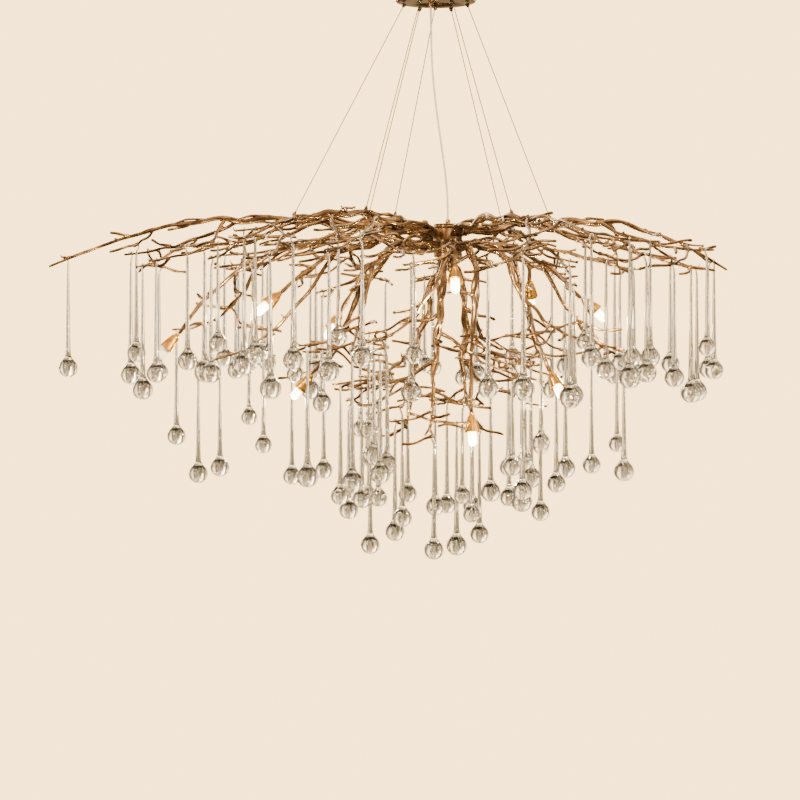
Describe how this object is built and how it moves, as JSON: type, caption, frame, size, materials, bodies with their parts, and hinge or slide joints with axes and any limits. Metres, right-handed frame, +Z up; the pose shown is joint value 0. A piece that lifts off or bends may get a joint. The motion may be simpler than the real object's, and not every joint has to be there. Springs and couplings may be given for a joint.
{
  "type": "branch chandelier with glass drops",
  "caption": "Ceiling chandelier of branching cast-brass limbs hung on steel cables, with clear glass drops hooked over the twigs and small lamps in conical cups",
  "frame": {"origin": "in the ceiling plane, on the canopy's axis, at the middle of the bracket's two slots", "axes": "+Z up, +X to the viewer's right, +Y away from the viewer; the two slots lie along Y"},
  "size_m": [1.1782, 0.9836, 0.9894],
  "materials": {
    "brass": "satin aged",
    "steel_cable": "satin",
    "clear_glass": "clear polished",
    "bulb_glass": "clear",
    "cord_plastic": "satin",
    "white_ceramic": "matt",
    "block_plastic": "matt",
    "plated_steel": "zinc plated"
  },
  "bodies": {
    "frame": {"ceiling_bracket": "plated_steel", "canopy": "brass", "canopy_dome_nuts": "brass", "cable_left": "steel_cable", "cable_front_left": "steel_cable", "cable_front_right": "steel_cable", "cable_right": "steel_cable", "cable_back_right": "steel_cable", "cable_back_left": "steel_cable", "cable_centre": "steel_cable", "cable_bushings": "brass", "cable_lugs": "brass", "canopy_gland": "brass", "hub_gland": "brass", "power_cord": "cord_plastic", "hub_drum": "brass", "hub_lid": "brass", "terminal_block": "block_plastic", "limb_left": "brass", "limb_front_left": "brass", "limb_front_right": "brass", "limb_right": "brass", "limb_back_right": "brass", "limb_back_left": "brass", "lamp_arm_1": "brass", "lamp_arm_2": "brass", "lamp_arm_3": "brass", "lamp_arm_4": "brass", "lamp_arm_5": "brass", "lamp_arm_6": "brass", "lamp_arm_7": "brass", "lamp_arm_8": "brass", "lamp_arm_9": "brass", "trunk_left": "brass", "trunk_front": "brass", "trunk_right": "brass", "lamp_cups": "brass", "lamp_holders": "white_ceramic", "drops_back_left": "clear_glass", "drops_back_right": "clear_glass", "drops_front_left": "clear_glass", "drops_front_right": "clear_glass"},
    "swing_left": {"end_drop_left": "clear_glass"},
    "swing_front_left": {"end_drop_front_left": "clear_glass"},
    "swing_front_right": {"end_drop_front_right": "clear_glass"},
    "swing_right": {"end_drop_right": "clear_glass"},
    "swing_back_right": {"end_drop_back_right": "clear_glass"},
    "swing_back_left": {"end_drop_back_left": "clear_glass"},
    "swing_trunk_left": {"end_drop_trunk_left": "clear_glass"},
    "swing_trunk_front": {"end_drop_trunk_front": "clear_glass"},
    "swing_trunk_right": {"end_drop_trunk_right": "clear_glass"},
    "plug_1": {"bulb_1": "bulb_glass"},
    "plug_2": {"bulb_2": "bulb_glass"},
    "plug_3": {"bulb_3": "bulb_glass"},
    "plug_4": {"bulb_4": "bulb_glass"},
    "plug_5": {"bulb_5": "bulb_glass"},
    "plug_6": {"bulb_6": "bulb_glass"},
    "plug_7": {"bulb_7": "bulb_glass"},
    "plug_8": {"bulb_8": "bulb_glass"},
    "plug_9": {"bulb_9": "bulb_glass"}
  },
  "joints": [
    {"name": "swing_left_hinge", "type": "hinge", "parent": "frame", "child": "swing_left", "pos_m": [-0.63453, -0.02199, -0.4721], "axis": [-0.996, -0.0895, 0], "range_deg": [-8, 8]},
    {"name": "swing_front_left_hinge", "type": "hinge", "parent": "frame", "child": "swing_front_left", "pos_m": [-0.28757, -0.45606, -0.4562], "axis": [-0.622, -0.783, 0], "range_deg": [-8, 8]},
    {"name": "swing_front_right_hinge", "type": "hinge", "parent": "frame", "child": "swing_front_right", "pos_m": [0.23554, -0.4691, -0.46156], "axis": [0.4779, -0.8784, 0], "range_deg": [-8, 8]},
    {"name": "swing_right_hinge", "type": "hinge", "parent": "frame", "child": "swing_right", "pos_m": [0.4846, 0.01871, -0.47549], "axis": [0.9995, -0.0303, 0], "range_deg": [-8, 8]},
    {"name": "swing_back_right_hinge", "type": "hinge", "parent": "frame", "child": "swing_back_right", "pos_m": [0.25221, 0.44646, -0.46173], "axis": [0.3841, 0.9233, 0], "range_deg": [-8, 8]},
    {"name": "swing_back_left_hinge", "type": "hinge", "parent": "frame", "child": "swing_back_left", "pos_m": [-0.31445, 0.4387, -0.45615], "axis": [-0.555, 0.8319, 0], "range_deg": [-8, 8]},
    {"name": "swing_trunk_left_hinge", "type": "hinge", "parent": "frame", "child": "swing_trunk_left", "pos_m": [-0.11403, 0.0342, -0.78032], "axis": [-0.9949, -0.1011, 0], "range_deg": [-8, 8]},
    {"name": "swing_trunk_front_hinge", "type": "hinge", "parent": "frame", "child": "swing_trunk_front", "pos_m": [-0.00523, -0.15375, -0.77849], "axis": [0.1601, -0.9871, 0], "range_deg": [-8, 8]},
    {"name": "swing_trunk_right_hinge", "type": "hinge", "parent": "frame", "child": "swing_trunk_right", "pos_m": [0.07953, 0.1266, -0.76642], "axis": [0.0252, 0.9997, 0], "range_deg": [-8, 8]},
    {"name": "plug_1_slide", "type": "slide", "parent": "frame", "child": "plug_1", "axis": [-0.7095, -0.293, -0.641], "range_m": [0, 0.012]},
    {"name": "plug_2_slide", "type": "slide", "parent": "frame", "child": "plug_2", "axis": [-0.3982, -0.4956, -0.7719], "range_m": [0, 0.012]},
    {"name": "plug_3_slide", "type": "slide", "parent": "frame", "child": "plug_3", "axis": [0.0092, -0.5967, -0.8024], "range_m": [0, 0.012]},
    {"name": "plug_4_slide", "type": "slide", "parent": "frame", "child": "plug_4", "axis": [0.084, 0.6527, -0.753], "range_m": [0, 0.012]},
    {"name": "plug_5_slide", "type": "slide", "parent": "frame", "child": "plug_5", "axis": [-0.6242, 0.2095, -0.7526], "range_m": [0, 0.012]},
    {"name": "plug_6_slide", "type": "slide", "parent": "frame", "child": "plug_6", "axis": [0.0285, -0.1177, -0.9926], "range_m": [0, 0.012]},
    {"name": "plug_7_slide", "type": "slide", "parent": "frame", "child": "plug_7", "axis": [0.3396, -0.4863, -0.8051], "range_m": [0, 0.012]},
    {"name": "plug_8_slide", "type": "slide", "parent": "frame", "child": "plug_8", "axis": [0.729, 0.083, -0.6795], "range_m": [0, 0.012]},
    {"name": "plug_9_slide", "type": "slide", "parent": "frame", "child": "plug_9", "axis": [-0.6122, -0.0381, -0.7898], "range_m": [0, 0.012]}
  ]
}
